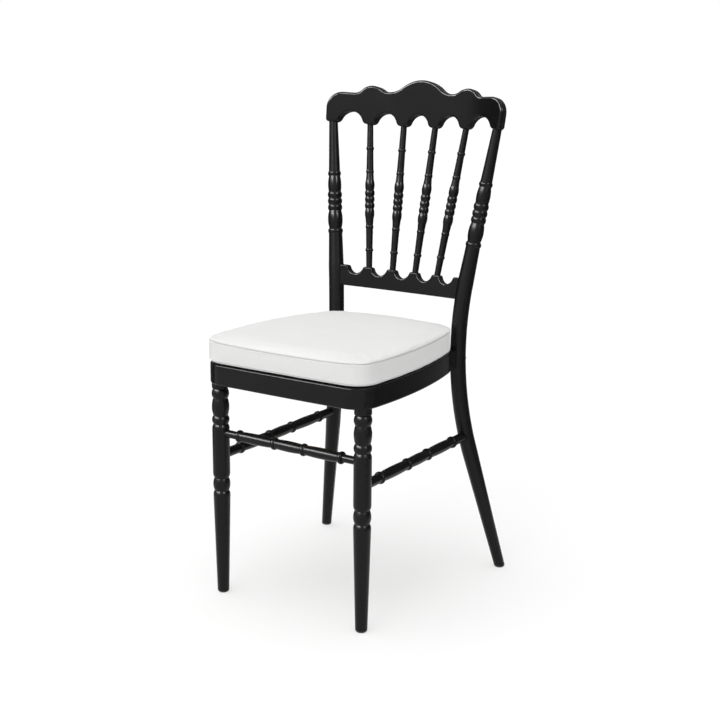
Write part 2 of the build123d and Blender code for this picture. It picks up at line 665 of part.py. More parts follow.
def stretcher(start, end, start_tool, start_depth, end_tool, end_depth, barrel, swell, end_diameter):
    """Turned stretcher between two leg centres, its ends hollowed to the legs and tenoned."""
    way = (end - start).normalized()
    middle = (start + end) / 2
    reach = (end - start).length / 2
    with BuildPart() as bar:
        for far in (start, end):
            with BuildSketch(turning_plane(middle, far)):
                with BuildLine():
                    half_stretcher(barrel, swell, end_diameter, reach)
                make_face()
            revolve(axis=Axis(middle, way))
        add(start_tool, mode=Mode.SUBTRACT)
        add(end_tool, mode=Mode.SUBTRACT)
        with Locations(Plane(origin=start + way * start_depth, z_dir=way).location):
            Cylinder(STRETCHER_TENON_D / 2, 2 * reach - start_depth - end_depth, align=AT_START)
    return bar.part


def leg_clearance(x):
    """Plain round bar at a front leg's barrel, for hollowing the stretchers' ends."""
    with BuildPart() as bar:
        with BuildSketch(Plane(origin=(x, leg_y, 0))):
            Circle(LEG_BEAD_D / 2 + GLUE_GAP)
        extrude(amount=SEAT_TOP)
    return bar.part


leg_depth = LEG_BEAD_D / 2 - STRETCHER_TENON_LENGTH
post_depth = POST_D / 2 - STRETCHER_TENON_LENGTH
front_stretcher = stretcher(
    Vector(-leg_x, leg_y, front_stretcher_z),
    Vector(leg_x, leg_y, front_stretcher_z),
    leg_clearance(-leg_x),
    leg_depth,
    leg_clearance(leg_x),
    leg_depth,
    FRONT_STRETCHER_BARREL,
    FRONT_STRETCHER_SWELL,
    FRONT_STRETCHER_END_D,
)
save(front_stretcher, "front_stretcher")
side_stretcher = stretcher(
    side_stretcher_front,
    side_stretcher_rear,
    leg_clearance(leg_x),
    leg_depth,
    post_clearance,
    post_depth,
    SIDE_STRETCHER_BARREL,
    SIDE_STRETCHER_SWELL,
    SIDE_STRETCHER_END_D,
)
save(side_stretcher, "side_stretcher_right")
save(mirrored(side_stretcher), "side_stretcher_left")


# Seat rails: one rounded rim, divided square across its sides
with BuildPart() as rim:
    with BuildSketch(Plane.XY.offset(rail_bottom)):
        add(seat_edge)
    extrude(amount=RAIL_HEIGHT)
    fillet(rim.faces().group_by(Axis.Z)[0].edges() + rim.faces().group_by(Axis.Z)[-1].edges(), RAIL_ROUND)
    with BuildSketch(Plane.XY.offset(rail_bottom)):
        add(seat_plan(RAIL_WIDTH))
    extrude(amount=RAIL_HEIGHT, mode=Mode.SUBTRACT)
    with BuildSketch(Plane.XY.offset(SEAT_TOP - DECK_THICKNESS)):
        add(seat_plan(RAIL_WIDTH - DECK_LEDGE - DECK_GAP))
    extrude(amount=DECK_THICKNESS, mode=Mode.SUBTRACT)


def across_side(reach, inset):
    """Plane square across the right side, at a distance along it and drawn in from its edge."""
    along = Vector(*side_edge.tangent_at(reach, position_mode=PositionMode.LENGTH))
    inward = Vector(0, 0, 1).cross(along)
    edge = Vector(*side_edge.position_at(reach, position_mode=PositionMode.LENGTH))
    return Plane(origin=edge + inward * inset + Vector(0, 0, rail_middle), x_dir=inward, z_dir=along)


rear_joint_reach = side_edge.length - REAR_JOINT
front_joint = across_side(FRONT_JOINT, RAIL_WIDTH / 2)
rear_joint = across_side(rear_joint_reach, RAIL_WIDTH / 2)


def rail_dowels(diameter, length):
    """Pairs of dowels across the rails' joints, or their sockets."""
    with BuildPart() as dowels:
        for joint in (front_joint, rear_joint):
            with BuildSketch(joint):
                with GridLocations(RAIL_DOWEL_SPACING, 0, 2, 1):
                    Circle(diameter / 2)
            extrude(amount=length / 2, both=True)
        mirror(about=Plane.YZ)
    return dowels.part


# Deck screws stand along the middle of the ledge that carries the deck
ledge_middle = RAIL_WIDTH - DECK_LEDGE / 2
screw_places = (
    Vector(SCREW_X, SEAT_FRONT + ledge_middle),
    across_side(FRONT_JOINT + SCREW_FROM_JOINT, ledge_middle).origin,
    across_side(rear_joint_reach - SCREW_FROM_JOINT, ledge_middle).origin,
    Vector(SCREW_X, SEAT_REAR - ledge_middle),
)


def deck_screws(gap):
    """Countersunk screws, or their holes when a gap is given."""
    with BuildPart() as screws:
        for place in screw_places:
            with Locations((place.X, place.Y, SEAT_TOP)):
                Cylinder(SCREW_D / 2 + gap, SCREW_LENGTH + gap, align=AT_END)
                Cone(SCREW_D / 2 + gap, SCREW_HEAD_D / 2 + gap, SCREW_HEAD_HEIGHT, align=AT_END)
        mirror(about=Plane.YZ)
    return screws.part


dowel_sockets = rail_dowels(RAIL_DOWEL_D + 2 * GLUE_GAP, RAIL_DOWEL_LENGTH + 2 * SOCKET_REST)
screw_holes = deck_screws(GLUE_GAP)


def other_side(plane):
    """The same plane on the chair's left side."""
    return Plane(
        origin=(-plane.origin.X, plane.origin.Y, plane.origin.Z),
        x_dir=(-plane.x_dir.X, plane.x_dir.Y, plane.x_dir.Z),
        z_dir=(-plane.z_dir.X, plane.z_dir.Y, plane.z_dir.Z),
    )


with BuildPart() as seat_rail_front:
    add(rim.part)
    split(bisect_by=front_joint, keep=Keep.BOTTOM)
    split(bisect_by=other_side(front_joint), keep=Keep.BOTTOM)
    add(dowel_sockets, mode=Mode.SUBTRACT)
    add(screw_holes, mode=Mode.SUBTRACT)
    for x in (-leg_x, leg_x):
        socket_foot = (x, leg_y, rail_bottom)
        drill(socket_foot, (0, 0, 1), LEG_TENON_D + 2 * GLUE_GAP, LEG_TENON_LENGTH + SOCKET_REST)

save(seat_rail_front.part, "seat_rail_front")

with BuildPart() as seat_rail_right:
    add(rim.part)
    split(bisect_by=Plane.YZ, keep=Keep.TOP)
    split(bisect_by=front_joint, keep=Keep.TOP)
    split(bisect_by=rear_joint, keep=Keep.BOTTOM)
    add(dowel_sockets, mode=Mode.SUBTRACT)
    add(screw_holes, mode=Mode.SUBTRACT)

save(seat_rail_right.part, "seat_rail_right")
save(mirrored(seat_rail_right.part), "seat_rail_left")

nut_top = rail_middle + NUT_LENGTH / 2
with BuildPart() as seat_rail_rear:
    add(rim.part)
    split(bisect_by=rear_joint, keep=Keep.TOP)
    split(bisect_by=other_side(rear_joint), keep=Keep.TOP)
    add(dowel_sockets, mode=Mode.SUBTRACT)
    add(screw_holes, mode=Mode.SUBTRACT)
    for side in (-1, 1):
        way = Vector(bolt_way.X * side, bolt_way.Y, 0)
        start = Vector(bolt_seat.X * side, bolt_seat.Y, rail_middle)
        drill(start, way, BOLT_D + 2 * BOLT_GAP, bolt_length + SOCKET_REST)
        nut_foot = (bolt_nut.X * side, bolt_nut.Y, rail_bottom)
        drill(nut_foot, (0, 0, 1), NUT_D + 2 * GLUE_GAP, nut_top - rail_bottom + SOCKET_REST)

save(seat_rail_rear.part, "seat_rail_rear")

save(rail_dowels(RAIL_DOWEL_D, RAIL_DOWEL_LENGTH), "seat_rail_dowels")

# Plywood deck let into the rails
with BuildPart() as seat_deck:
    with BuildSketch(Plane.XY.offset(SEAT_TOP - DECK_THICKNESS)):
        add(seat_plan(RAIL_WIDTH - DECK_LEDGE))
    extrude(amount=DECK_THICKNESS)
    add(screw_holes, mode=Mode.SUBTRACT)

save(seat_deck.part, "seat_deck")
save(deck_screws(0), "deck_screws")

# Spacers between the seat's rear corners and the posts
with BuildPart() as post_spacer:
    with BuildSketch(Plane(origin=bolt_post, x_dir=bolt_way.cross(Vector(0, 0, 1)), z_dir=bolt_way)):
        Rectangle(SPACER_WIDTH, SPACER_HEIGHT)
    extrude(amount=(bolt_rail - bolt_post).length + SPACER_WIDTH / 2)
    with BuildSketch(Plane.XY.offset(rail_bottom)):
        add(seat_plan(-GLUE_GAP))
    extrude(amount=RAIL_HEIGHT, mode=Mode.SUBTRACT)
    add(post_clearance, mode=Mode.SUBTRACT)
    drill(bolt_seat, bolt_way, BOLT_D + 2 * BOLT_GAP, bolt_length)

save(post_spacer.part, "post_spacer_right")
save(mirrored(post_spacer.part), "post_spacer_left")

# Bolts through the posts, and their cross nuts
with BuildPart() as post_bolts:
    with Locations(Plane(origin=bolt_seat, z_dir=bolt_way).location):
        Cylinder(BOLT_D / 2, bolt_length, align=AT_START)
        Cylinder(BOLT_HEAD_D / 2, BOLT_HEAD_HEIGHT, align=AT_END)
    mirror(about=Plane.YZ)

save(post_bolts.part, "post_bolts")

with BuildPart() as post_barrel_nuts:
    with Locations(bolt_nut):
        Cylinder(NUT_D / 2, NUT_LENGTH)
    drill(bolt_nut - bolt_way * NUT_D, bolt_way, BOLT_D + 2 * GLUE_GAP, 2 * NUT_D)
    mirror(about=Plane.YZ)

save(post_barrel_nuts.part, "post_barrel_nuts")


# Foot glides and their nails
def foot_glide(x, y):
    """Chamfered plastic disc with a recess for its nail's head."""
    with BuildPart() as glide:
        with BuildSketch(Plane(origin=(x, y, 0))):
            Circle(GLIDE_D / 2)
        extrude(amount=GLIDE_HEIGHT)
        chamfer(glide.faces().sort_by(Axis.Z)[0].edges(), GLIDE_CHAMFER)
        drill((x, y, 0), (0, 0, 1), NAIL_D + 2 * GLUE_GAP, GLIDE_HEIGHT)
        drill((x, y, 0), (0, 0, 1), NAIL_HEAD_D + 2 * GLUE_GAP, 2 * NAIL_HEAD_HEIGHT)
    return glide.part


glide_places = {
    "front_left": (-leg_x, leg_y),
    "front_right": (leg_x, leg_y),
    "rear_left": (-rear_glide.X, rear_glide.Y),
    "rear_right": (rear_glide.X, rear_glide.Y),
}
for name, place in glide_places.items():
    save(foot_glide(*place), f"foot_glide_{name}")

with BuildPart() as glide_nails:
    for x, y in glide_places.values():
        with Locations((x, y, NAIL_HEAD_HEIGHT)):
            Cylinder(NAIL_HEAD_D / 2, NAIL_HEAD_HEIGHT, align=AT_START)
            Cylinder(NAIL_D / 2, NAIL_LENGTH, align=AT_START)

save(glide_nails.part, "glide_nails")

# Hook-and-loop strips: hooks on the deck, loops under the pad
pad_bottom = SEAT_TOP + 2 * PAD_STRIP_THICKNESS
pad_middle_y = (SEAT_FRONT + SEAT_REAR) / 2
for label, low in (("pad_hook_strips", SEAT_TOP), ("pad_loop_strips", SEAT_TOP + PAD_STRIP_THICKNESS)):
    with BuildPart() as strips:
        with BuildSketch(Plane(origin=(0, pad_middle_y, low))):
            with GridLocations(PAD_STRIP_SPACING_X, PAD_STRIP_SPACING_Y, 2, 2):
                Rectangle(PAD_STRIP_WIDTH, PAD_STRIP_LENGTH)
        extrude(amount=PAD_STRIP_THICKNESS)
    save(strips.part, label)


# Seat pad: a bottom panel, a side band and a crowned top panel, drawn in where they are sewn together
lower_seam = pad_bottom + PAD_BASE_HEIGHT
upper_seam = lower_seam + PAD_BAND_HEIGHT
pad_top = upper_seam + PAD_TOP_EDGE + PAD_CROWN
crown_reach = max((Vector(*corner) - Vector(0, pad_middle_y)).length for corner in seat_edge.vertices())
crown_radius = (crown_reach**2 + PAD_CROWN**2) / (2 * PAD_CROWN)


def pad_layer(inset, low, high, low_round, high_round):
    """One sewn layer of the pad, rounded towards its seams."""
    with BuildPart() as layer:
        with BuildSketch(Plane.XY.offset(low)):
            add(seat_plan(inset))
        extrude(amount=high - low)
        fillet(layer.faces().sort_by(Axis.Z)[0].edges(), low_round)
        fillet(layer.faces().sort_by(Axis.Z)[-1].edges(), high_round)
    return layer.part


def crowned(inset, low):
    """The pad's plan drawn in by an inset, under one shallow crown and rounded over at its upper edge."""
    with BuildPart() as block:
        with BuildSketch(Plane.XY.offset(low)):
            add(seat_plan(inset))
        extrude(amount=pad_top - low)
        with Locations((0, pad_middle_y, pad_top - crown_radius)):
            Sphere(crown_radius - inset, rotation=(90, 0, 0), mode=Mode.INTERSECT)
        fillet(block.faces().sort_by(Axis.Z)[-1].edges(), PAD_TOP_ROUND - inset)
    return block.part


with BuildPart() as seat_pad_cover:
    add(pad_layer(PAD_BASE_INSET, pad_bottom, lower_seam, PAD_BASE_ROUND, PAD_BASE_SEAM_ROUND))
    add(pad_layer(-PAD_BULGE, lower_seam, upper_seam, PAD_SEAM_ROUND, PAD_SEAM_ROUND))
    add(crowned(0, upper_seam))
    add(crowned(PAD_WALL, pad_bottom + PAD_WALL), mode=Mode.SUBTRACT)

save(seat_pad_cover.part, "seat_pad_cover")
foam_inset = PAD_WALL + FOAM_GAP
save(crowned(foam_inset, pad_bottom + foam_inset), "seat_pad_foam")
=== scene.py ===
import math

import bmesh
import bpy
from mathutils import Matrix, Vector, kdtree, noise


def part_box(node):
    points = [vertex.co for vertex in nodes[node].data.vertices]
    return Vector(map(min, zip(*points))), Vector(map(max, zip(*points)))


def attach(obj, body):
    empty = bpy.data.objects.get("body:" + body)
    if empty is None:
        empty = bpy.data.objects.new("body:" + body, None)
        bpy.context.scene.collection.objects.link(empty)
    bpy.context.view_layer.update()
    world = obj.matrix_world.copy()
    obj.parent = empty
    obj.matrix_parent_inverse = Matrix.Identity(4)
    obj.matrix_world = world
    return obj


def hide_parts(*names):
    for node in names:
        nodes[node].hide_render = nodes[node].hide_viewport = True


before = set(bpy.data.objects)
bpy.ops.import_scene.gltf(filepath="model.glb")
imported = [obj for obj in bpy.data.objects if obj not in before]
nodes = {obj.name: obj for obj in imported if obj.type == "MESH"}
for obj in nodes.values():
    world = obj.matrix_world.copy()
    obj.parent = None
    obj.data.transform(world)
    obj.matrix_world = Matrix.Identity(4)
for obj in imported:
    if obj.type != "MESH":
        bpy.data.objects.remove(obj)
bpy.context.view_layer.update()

# Front legs
# Two beech legs, turned with beads, a vase, a barrel and a long taper, and sprayed satin black.
# A round tenon at the top of each is glued into the seat's front rail.
MIX_FACTOR = 0
MIX_FIRST = 6
MIX_SECOND = 7
MIX_COLOUR = 2


class Tone:
    """A socket of a material's nodes. Arithmetic on it adds Math nodes."""

    def __init__(self, tree, socket=None):
        self.tree = tree
        self.socket = socket

    def node(self, kind, settings=None, sockets=None, output=0):
        """Adds a node with its settings, then the values or links of its sockets."""
        made = self.tree.nodes.new("ShaderNode" + kind)
        for name, value in (settings or {}).items():
            setattr(made, name, value)
        for name, value in (sockets or {}).items():
            if isinstance(value, Tone):
                self.tree.links.new(value.socket, made.inputs[name])
            else:
                made.inputs[name].default_value = value
        return Tone(self.tree, made.outputs[output])

    def math(self, operation, first, second):
        return self.node("Math", {"operation": operation}, {0: first, 1: second})

    def __add__(self, other):
        return self.math("ADD", self, other)

    def __radd__(self, other):
        return self.math("ADD", other, self)

    def __mul__(self, other):
        return self.math("MULTIPLY", self, other)

    def __rmul__(self, other):
        return self.math("MULTIPLY", other, self)

    def cells(self, scale, detail=2.0):
        """Soft noise from 0 to 1, with a scale in turns per metre along each axis."""
        place = self.node("TexCoord", output="Object")
        stretched = self.node("Mapping", {}, {"Vector": place, "Scale": scale})
        return self.node("TexNoise", {}, {"Vector": stretched, "Scale": 1.0, "Detail": detail})

    def step(self, low, high):
        """0 at low, 1 at high, and smooth between them."""
        ease = {"interpolation_type": "SMOOTHSTEP"}
        return self.node("MapRange", ease, {"Value": self, "From Min": low, "From Max": high})

    def colours(self, first, second):
        """Mixes two colours by this value. Each is a Tone, or red, green and blue."""
        first, second = [end if isinstance(end, Tone) else (*end, 1) for end in (first, second)]
        ends = {MIX_FACTOR: self, MIX_FIRST: first, MIX_SECOND: second}
        return self.node("Mix", {"data_type": "RGBA"}, ends, MIX_COLOUR)

    def feed(self, node, name):
        """Links this value to a socket of a node that is already there."""
        self.tree.links.new(self.socket, node.inputs[name])


def finish(name, paint, metallic=0.0, specular=0.5):
    """New material. Its paint gives the colour, roughness and height in metres from a Tone."""
    material = bpy.data.materials.new(name)
    material.use_nodes = True
    shader = material.node_tree.nodes["Principled BSDF"]
    shader.inputs["Metallic"].default_value = metallic
    shader.inputs["Specular IOR Level"].default_value = specular
    colour, roughness, height = paint(Tone(material.node_tree))
    colour.feed(shader, "Base Color")
    roughness.feed(shader, "Roughness")
    height.node("Bump", {}, {"Strength": 1.0, "Distance": 1.0, "Height": height}).feed(shader, "Normal")
    return material


def dress(material, *names):
    """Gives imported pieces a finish."""
    for name in names:
        nodes[name].data.materials.clear()
        nodes[name].data.materials.append(material)


LACQUER_BLACK = (0.0046, 0.0046, 0.0048)
LACQUER_WORN = (0.0068, 0.0067, 0.0066)
LACQUER_DUST = (0.020, 0.020, 0.019)
LACQUER_SPECULAR = 0.17
TURNED_GLOSS = 0.23
PORE_ACROSS = 900.0
PORE_ALONG = 45.0
PORE_DETAIL = 3.0
PORE_ROUGHNESS = 0.03
PORE_HEIGHT = 0.000003
PEEL = {"scale": (330, 330, 330)}
PEEL_HEIGHT = 0.000008
CLOUD = {"scale": (22, 22, 22), "detail": 4.0}
CLOUD_ROUGHNESS = 0.04
DUST = {"scale": (60, 60, 60), "detail": 5.0}
DUST_SLOPE = (0.75, 1.0)
DUST_PATCHES = (0.45, 0.75)
DUST_COVER = 0.3
DUST_ROUGHNESS = 0.08


def satin_black(name, along, gloss):
    """Lacquer over beech. Its pores run along one axis, 0 to 2, and gloss is its lowest roughness."""
    grain = [PORE_ACROSS] * 3
    grain[along] = PORE_ALONG

    def paint(tone):
        pores = tone.cells(grain, PORE_DETAIL)
        peel = tone.cells(**PEEL)
        cloud = tone.cells(**CLOUD)
        facing = tone.node("NewGeometry", output="Normal")
        upward = tone.node("SeparateXYZ", {}, {"Vector": facing}, "Z").step(*DUST_SLOPE)
        dust = upward * tone.cells(**DUST).step(*DUST_PATCHES)
        base = cloud.colours(LACQUER_BLACK, LACQUER_WORN)
        dusted = (DUST_COVER * dust).colours(base, LACQUER_DUST)
        roughness = gloss + CLOUD_ROUGHNESS * cloud + PORE_ROUGHNESS * pores + DUST_ROUGHNESS * dust
        height = PEEL_HEIGHT * peel + PORE_HEIGHT * pores
        return dusted, roughness, height

    return finish(name, paint, specular=LACQUER_SPECULAR)


turned_upright = satin_black("turned_upright", 2, TURNED_GLOSS)
dress(turned_upright, "front_leg_left", "front_leg_right")

# Stretchers
# Three turned beech rails with rings at a swollen middle, sprayed with the legs.
# Their round ends are glued into sockets in the legs and posts.
dress(satin_black("turned_across", 0, TURNED_GLOSS), "front_stretcher")
dress(satin_black("turned_fore_aft", 1, TURNED_GLOSS), "side_stretcher_left", "side_stretcher_right")

# Seat rails
# Four sawn beech rails with rounded edges, bowed to the seat's plan, sprayed and rubbed smooth.
# They meet square across the sides of the seat and are dowelled and glued.
RUBBED_GLOSS = 0.11
rubbed_across = satin_black("rubbed_across", 0, RUBBED_GLOSS)
rubbed_fore_aft = satin_black("rubbed_fore_aft", 1, RUBBED_GLOSS)
dress(rubbed_across, "seat_rail_front", "seat_rail_rear")
dress(rubbed_fore_aft, "seat_rail_left", "seat_rail_right")

# Seat rail dowels
# Eight beech dowels, left bare.
# Two of them cross each of the four joints of the seat rails, in glue.
BEECH_PALE = (0.60, 0.40, 0.24)
BEECH_FLECK = (0.36, 0.20, 0.10)


def flecked(name, colours, scale, detail, edge, roughness, rougher, height, metallic=0.0):
    """New material of two colours, parted by flecks that also add to its roughness and height."""

    def paint(tone):
        flecks = tone.cells(scale, detail)
        return flecks.step(*edge).colours(*colours), roughness + rougher * flecks, height * flecks

    return finish(name, paint, metallic)


bare_beech = flecked(
    "bare_beech", colours=(BEECH_PALE, BEECH_FLECK), scale=(1400, 160, 1400), detail=3.0, edge=(0.5, 0.7),
    roughness=0.62, rougher=0.1, height=0.00002,
)
dress(bare_beech, "seat_rail_dowels")

# Seat deck and its screws
# A birch plywood panel let flush into a ledge of the rails, which carries the pad.
# Eight zinc-plated countersunk screws hold it down.
BIRCH_LIGHT = (0.62, 0.46, 0.30)
BIRCH_DARK = (0.42, 0.27, 0.15)
BIRCH_FIGURE = {"scale": (95, 7, 7), "detail": 4.0}
BIRCH_STREAKS = {"scale": (800, 30, 400), "detail": 3.0}
BIRCH_RINGS = (0.42, 0.62)
BIRCH_RING_SHARE = 0.6
BIRCH_STREAK_SHARE = 0.4
BIRCH_ROUGHNESS = 0.55
BIRCH_STREAK_ROUGHNESS = 0.15
BIRCH_STREAK_HEIGHT = 0.00004
ZINC = (0.60, 0.61, 0.62)
ZINC_DULL = (0.42, 0.43, 0.45)


def birch_plywood(tone):
    figure = tone.cells(**BIRCH_FIGURE)
    streaks = tone.cells(**BIRCH_STREAKS)
    rings = figure.step(*BIRCH_RINGS) * BIRCH_RING_SHARE + BIRCH_STREAK_SHARE * streaks
    roughness = BIRCH_ROUGHNESS + BIRCH_STREAK_ROUGHNESS * streaks
    return rings.colours(BIRCH_LIGHT, BIRCH_DARK), roughness, BIRCH_STREAK_HEIGHT * streaks


zinc_steel = flecked(
    "zinc_steel", colours=(ZINC, ZINC_DULL), scale=(420, 420, 420), detail=4.0, edge=(0.35, 0.65),
    roughness=0.28, rougher=0.2, height=0.000004, metallic=1.0,
)
dress(finish("birch_plywood", birch_plywood), "seat_deck")
dress(zinc_steel, "deck_screws")

# Rear posts
# One turned and steam-bent beech stick on each side: rear leg below the seat, back post above it.
# The top of each is tenoned into the crest rail.
dress(turned_upright, "rear_post_left", "rear_post_right")

# Post spacers, bolts and nuts
# Short beech lugs fill the space between the seat's rear corners and the posts.
# A blackened bolt through each post and lug is drawn up by a cross nut in the rear rail.
BLUED = (0.012, 0.012, 0.014)
BLUED_RUBBED = (0.05, 0.05, 0.055)
blackened_steel = flecked(
    "blackened_steel", colours=(BLUED, BLUED_RUBBED), scale=(260, 260, 260), detail=4.0, edge=(0.5, 0.8),
    roughness=0.36, rougher=0.16, height=0.000006, metallic=0.7,
)
dress(rubbed_fore_aft, "post_spacer_left", "post_spacer_right")
dress(blackened_steel, "post_bolts")
dress(zinc_steel, "post_barrel_nuts")

# Back rails
# A humped and scalloped crest and a scalloped lower rail, sawn from bowed beech with rounded edges.
# The crest caps the posts, and the lower rail's flat tenons are glued into them.
dress(rubbed_across, "crest_rail", "lower_back_rail")

# Spindles
# Four turned beech spindles with beads, vases and rings, sprayed satin black.
# They are glued between the two back rails.
dress(
    turned_upright, "spindle_outer_left", "spindle_inner_left", "spindle_inner_right", "spindle_outer_right"
)

# Foot glides and nails
# Moulded black nylon buttons under the front legs and the rear posts.
# One zinc-plated nail holds each of them.
NYLON = (0.010, 0.010, 0.011)
NYLON_SCUFFED = (0.032, 0.031, 0.030)
NYLON_GRIT = {"scale": (1500, 1500, 1500)}
NYLON_GRIT_HEIGHT = 0.00001
NYLON_SCUFFS = {"scale": (240, 240, 900), "detail": 4.0}
NYLON_SCUFF_EDGE = (0.5, 0.8)
NYLON_ROUGHNESS = 0.5
NYLON_SCUFF_ROUGHNESS = 0.2


def moulded_nylon(tone):
    grit = tone.cells(**NYLON_GRIT)
    scuffs = tone.cells(**NYLON_SCUFFS)
    colour = scuffs.step(*NYLON_SCUFF_EDGE).colours(NYLON, NYLON_SCUFFED)
    return colour, NYLON_ROUGHNESS + NYLON_SCUFF_ROUGHNESS * scuffs, NYLON_GRIT_HEIGHT * grit


dress(
    finish("moulded_nylon", moulded_nylon),
    "foot_glide_front_left", "foot_glide_front_right", "foot_glide_rear_left", "foot_glide_rear_right",
)
dress(zinc_steel, "glide_nails")

# Hook-and-loop strips
# Woven black tape: one half with hooks, glued to the deck, and one with loops, sewn under the pad.
# The strips keep the pad in its place and let it lift off.
TAPE_BLACK = (0.012, 0.012, 0.013)
TAPE_GREY = (0.045, 0.045, 0.047)
hook_and_loop = flecked(
    "hook_and_loop", colours=(TAPE_BLACK, TAPE_GREY), scale=(1100, 1100, 1100), detail=4.0, edge=(0.4, 0.7),
    roughness=0.8, rougher=0.15, height=0.0004,
)
dress(hook_and_loop, "pad_hook_strips", "pad_loop_strips")

# Seat pad
# A foam block in a white leatherette cover: a crowned top panel, a side band and a bottom panel,
# joined by two closed seams. It lies on the seat rails and is held only by the loop strips.
PAD_VOXEL = 0.0045
PAD_SLACK = 0.0015
PAD_PRESSURE = 4.0
PAD_FRAMES = 20
PAD_SWELL = 0.0021
PAD_MASS = 0.02
PAD_ROUNDING = 1
BOTTOM_FACING = -0.5
SAME_PLACE = 1e-6
NO_LENGTH = 1e-9
LOWER_SEAM = 0.0034
UPPER_SEAM = 0.0380
SEAMS = (LOWER_SEAM, UPPER_SEAM)
SEAM_CUTS = (-0.0030, -0.0021, -0.0013, -0.0006, 0, 0.0006, 0.0013, 0.0021, 0.0030)
SEAM_CUT_SNAP = 1e-5
ON_SEAM = 1e-4
SEAM_DEPTH = 0.0014
SEAM_HALF_WIDTH = 0.0011
LIP_HEIGHT = 0.0004
LIP_FROM_SEAM = 0.0017
LIP_HALF_WIDTH = 0.0010
PUCKER_DEPTH = 0.00012
PUCKER_REACH = 0.006
PUCKERS_PER_METRE = 80.0
FRONT_SAG = 0.0032
FRONT_SAG_REACH = 0.150
FRONT_SAG_HEIGHT = 0.014
TOP_ROLL = 0.0045
TOP_ROLL_REACH = 0.055
TOP_ROLL_EVEN = 0.8
TOP_ROLL_FROM = -0.10
TOP_ROLL_OVER = 0.15
SIDE_LIFT = 0.0045
SIDE_LIFT_POWER = 4
CORNER_FULL = 0.0020
CORNER_SLACK = 0.0025
pad_low, pad_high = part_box("seat_pad_cover")
pad_bottom = pad_low.z


def outer_skin(node):
    """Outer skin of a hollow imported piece, as a new merged mesh."""
    shape = bmesh.new()
    shape.from_mesh(nodes[node].data)
    bmesh.ops.remove_doubles(shape, verts=shape.verts, dist=SAME_PLACE)
    reached = {max(shape.verts, key=lambda vertex: vertex.co.z)}
    edge_of_reach = list(reached)
    while edge_of_reach:
        vertex = edge_of_reach.pop()
        beside = {link.other_vert(vertex) for link in vertex.link_edges} - reached
        reached |= beside
        edge_of_reach += beside
    bmesh.ops.delete(shape, geom=[v for v in shape.verts if v not in reached], context="VERTS")
    mesh = bpy.data.meshes.new(node)
    shape.to_mesh(mesh)
    shape.free()
    return mesh


def settle(piece):
    """Replaces a piece's mesh by what its modifiers make of it, and drops them."""
    shaped = piece.evaluated_get(bpy.context.evaluated_depsgraph_get())
    piece.data = bpy.data.meshes.new_from_object(shaped)
    piece.modifiers.clear()


def from_seam(rise):
    """Distance in height from the nearer seam."""
    return min(abs(rise - seam) for seam in SEAMS)


def share(value):
    """Keeps a value between 0 and 1."""
    return min(1, max(0, value))


def bell(distance, half_width):
    """1 at no distance, and falling off smoothly on both sides."""
    return math.exp(-((distance / half_width) ** 2))


pad = bpy.data.objects.new("seat_pad", outer_skin("seat_pad_cover"))
bpy.context.scene.collection.objects.link(pad)
remesh = pad.modifiers.new("even_mesh", "REMESH")
remesh.mode = "VOXEL"
remesh.voxel_size = PAD_VOXEL
settle(pad)

# The panels start slack and the foam's push fills them, while the seams and the bottom panel hold
# the plan.
sewn = [
    vertex.index for vertex in pad.data.vertices
    if from_seam(vertex.co.z - pad_bottom) < PAD_VOXEL / 2 or vertex.normal.z < BOTTOM_FACING
]
pad.vertex_groups.new(name="sewn").add(sewn, 1.0, "REPLACE")
held = set(sewn)
start = [v.co - v.normal * (0 if v.index in held else PAD_SLACK) for v in pad.data.vertices]
for vertex, place in zip(pad.data.vertices, start):
    vertex.co = place
cloth = pad.modifiers.new("stuffing", "CLOTH")
cloth.settings.vertex_group_mass = "sewn"
cloth.settings.mass = PAD_MASS
cloth.settings.use_pressure = True
cloth.settings.uniform_pressure_force = PAD_PRESSURE
cloth.settings.effector_weights.gravity = 0
for step in range(1, PAD_FRAMES + 1):
    bpy.context.scene.frame_set(step)
settle(pad)
bpy.context.scene.frame_set(1)
for vertex, place in zip(pad.data.vertices, start):
    swell = vertex.co - place
    vertex.co = place + swell * min(1, PAD_SWELL / max(swell.length, NO_LENGTH))
pad.vertex_groups.clear()
for vertex in pad.data.vertices:
    vertex.co.z = max(vertex.co.z, pad_bottom)
rounding = pad.modifiers.new("rounding", "SUBSURF")
rounding.levels = PAD_ROUNDING
rounding.render_levels = PAD_ROUNDING
settle(pad)

# The seams are drawn in, with a lip on each side and small puckers along them. The cover is fuller at
# its front corners and slack at the rear ones. Its top rolls over towards the rear and rises at the
# sides of the front, and the upper seam hangs a little in the front's middle.
shape = bmesh.new()
shape.from_mesh(pad.data)
for seam in SEAMS:
    for cut in SEAM_CUTS:
        level = Vector((0, 0, pad_bottom + seam + cut))
        everything = shape.verts[:] + shape.edges[:] + shape.faces[:]
        bmesh.ops.bisect_plane(
            shape, geom=everything, plane_co=level, plane_no=(0, 0, 1), dist=SEAM_CUT_SNAP
        )
shape.normal_update()
seam_line = shape.verts.layers.float.new("seam_line")
upper_seam = pad_bottom + UPPER_SEAM
sewn_edge = [Vector((v.co.x, v.co.y, 0)) for v in shape.verts if abs(v.co.z - upper_seam) < ON_SEAM]
edge_tree = kdtree.KDTree(len(sewn_edge))
for number, place in enumerate(sewn_edge):
    edge_tree.insert(place, number)
edge_tree.balance()
moves = []
